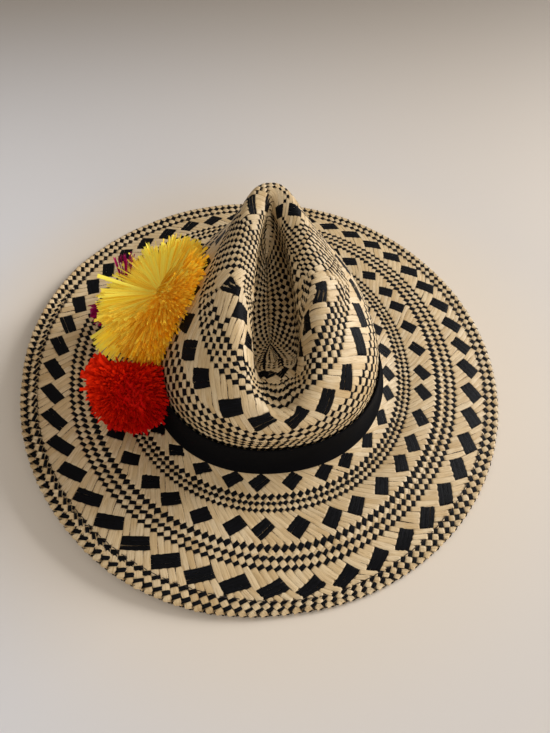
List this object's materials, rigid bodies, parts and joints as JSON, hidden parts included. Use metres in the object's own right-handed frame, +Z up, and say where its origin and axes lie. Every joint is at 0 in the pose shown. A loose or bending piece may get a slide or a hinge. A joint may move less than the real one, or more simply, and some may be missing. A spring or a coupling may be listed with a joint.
{
  "type": "straw hat",
  "caption": "Wide-brimmed straw hat plaited in natural and black strands, with a pinched teardrop crown, a black cloth band and raffia pompoms sewn to one side.",
  "frame": {"origin": "under the middle of the brim, on the surface that the hat rests on", "axes": "+Z up through the crown, +Y towards the pinched front of the crown, the pompoms on the left at -X"},
  "size_m": [0.342, 0.36, 0.1135],
  "materials": {
    "plaited_straw": "plaited natural and black straw",
    "band_cloth": "matte black cloth",
    "raffia_yellow": "dyed raffia strips",
    "raffia_red": "dyed raffia strips",
    "raffia_magenta": "dyed raffia strips"
  },
  "bodies": {
    "root": {"straw_body": "plaited_straw", "hat_band": "band_cloth", "pompom_yellow": "raffia_yellow", "pompom_red": "raffia_red", "pompom_magenta": "raffia_magenta"}
  },
  "joints": []
}
